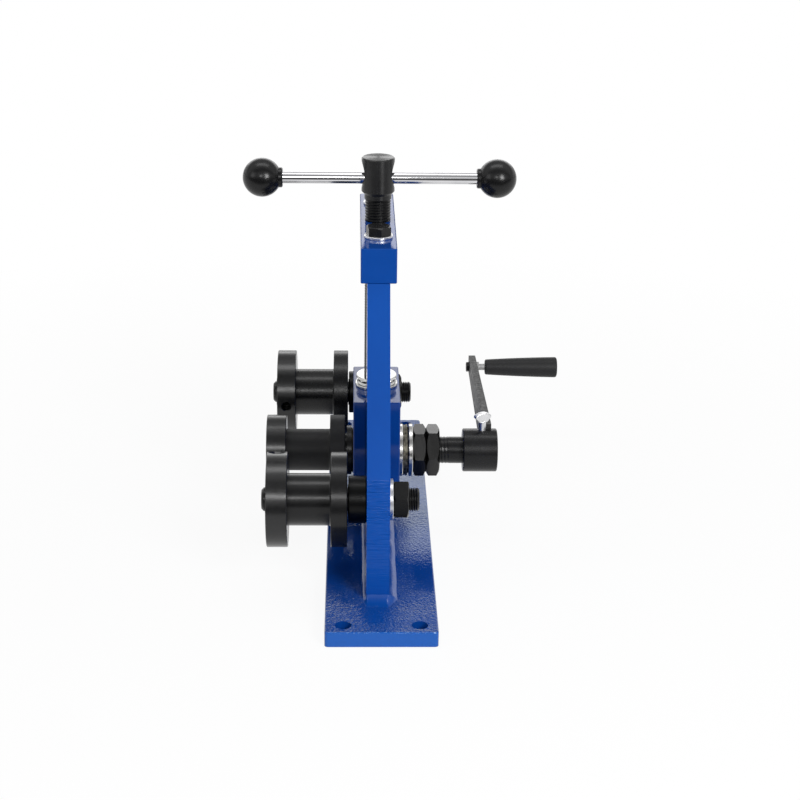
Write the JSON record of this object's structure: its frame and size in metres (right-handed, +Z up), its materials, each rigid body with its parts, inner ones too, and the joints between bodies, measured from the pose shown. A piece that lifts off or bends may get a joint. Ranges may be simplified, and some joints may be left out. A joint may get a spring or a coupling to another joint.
{
  "type": "manual pipe bender",
  "caption": "Bench pipe bender: idle rollers on a welded frame plate, a driven roller on a sliding carriage turned by a crank, and a pressure screw with a tommy bar.",
  "frame": {"origin": "on the underside of the base plate, under the axis of the pressure screw and in the middle plane of the frame plate", "axes": "+Z up along the pressure screw, +X from the rollers to the crank along the roller axes, +Y to the rear along the base"},
  "size_m": [0.3023, 0.461, 0.3462],
  "materials": {
    "blue_paint": "gloss blue enamel",
    "navy_paint": "gloss dark blue enamel",
    "roller_steel": "turned, black oxide, satin",
    "black_steel": "black oxide",
    "bright_steel": "ground",
    "cage_steel": "pressed sheet",
    "zinc": "bright zinc plate",
    "grey_steel": "grey, semi-matte",
    "chrome": "polished",
    "gloss_black": "polished black",
    "matte_black": "matte black",
    "bronze": "machined"
  },
  "bodies": {
    "frame": {"base_plate": "blue_paint", "frame_plate": "blue_paint", "foot_weld": "blue_paint", "crosshead": "blue_paint", "crosshead_bolts": "black_steel", "crosshead_washers": "zinc", "front_axle": "black_steel", "rear_axle": "black_steel", "front_spacer": "black_steel", "rear_spacer": "black_steel", "axle_washers": "zinc", "axle_nuts": "black_steel", "axle_circlips": "bright_steel"},
    "carriage_unit": {"carriage": "navy_paint", "carriage_bushes": "bronze", "thrust_washer": "bronze", "screw_retaining_pins": "bright_steel", "screw_bearing_lower_race": "bright_steel", "screw_bearing_balls": "bright_steel", "screw_bearing_cage": "bright_steel", "crank_bearing_fixed_race": "bright_steel", "crank_bearing_balls": "bright_steel", "crank_bearing_cage": "cage_steel"},
    "screw": {"pressure_screw": "black_steel", "screw_bearing_upper_race": "bright_steel"},
    "tommy": {"tommy_bar": "chrome", "left_ball_knob": "gloss_black", "right_ball_knob": "gloss_black"},
    "front_idler": {"front_roller": "roller_steel", "front_roller_bush": "bronze"},
    "front_flange": {"front_outer_flange": "roller_steel", "front_set_screw": "black_steel"},
    "rear_idler": {"rear_roller": "roller_steel", "rear_roller_bush": "bronze"},
    "rear_flange": {"rear_outer_flange": "roller_steel", "rear_set_screw": "black_steel"},
    "crank": {"drive_shaft": "black_steel", "drive_key": "bright_steel", "drive_roller": "roller_steel", "drive_end_screw": "black_steel", "lock_nuts": "black_steel", "crank_bearing_turning_race": "bright_steel", "crank_hub": "black_steel", "crank_arm": "grey_steel", "wing_bolt": "zinc", "handle_bolt": "zinc", "handle_nut": "black_steel"},
    "drive_flange": {"drive_outer_flange": "roller_steel", "drive_set_screw": "black_steel"},
    "grip": {"handle_grip": "matte_black"}
  },
  "joints": [
    {"name": "carriage_slide", "type": "slide", "parent": "frame", "child": "carriage_unit", "axis": [0, 0, 1], "range_m": [-0.012, 0.1]},
    {"name": "screw_turn", "type": "hinge", "parent": "carriage_unit", "child": "screw", "pos_m": [0, 0, 0.1493], "axis": [0, 0, 1], "range_deg": [-1728, 14400]},
    {"name": "tommy_bar_slide", "type": "slide", "parent": "screw", "child": "tommy", "axis": [1, 0, 0], "range_m": [-0.07, 0.067]},
    {"name": "front_roller_spin", "type": "hinge", "parent": "frame", "child": "front_idler", "pos_m": [0, -0.125, 0.0835], "axis": [1, 0, 0], "continuous": true},
    {"name": "rear_roller_spin", "type": "hinge", "parent": "frame", "child": "rear_idler", "pos_m": [0, 0.125, 0.0835], "axis": [1, 0, 0], "continuous": true},
    {"name": "crank_turn", "type": "hinge", "parent": "carriage_unit", "child": "crank", "pos_m": [0, 0, 0.0758], "axis": [1, 0, 0], "continuous": true},
    {"name": "grip_spin", "type": "hinge", "parent": "crank", "child": "grip", "pos_m": [0.12, 0.21999, 0.07434], "axis": [1, 0, 0], "continuous": true},
    {"name": "front_flange_slide", "type": "slide", "parent": "front_idler", "child": "front_flange", "axis": [1, 0, 0], "range_m": [0, 0.03]},
    {"name": "rear_flange_slide", "type": "slide", "parent": "rear_idler", "child": "rear_flange", "axis": [1, 0, 0], "range_m": [0, 0.03]},
    {"name": "drive_flange_slide", "type": "slide", "parent": "crank", "child": "drive_flange", "axis": [1, 0, 0], "range_m": [0, 0.034]}
  ],
  "couplings": [
    {"joint": "carriage_slide", "follows": "screw_turn", "m_per_rad": 0.00039789}
  ]
}
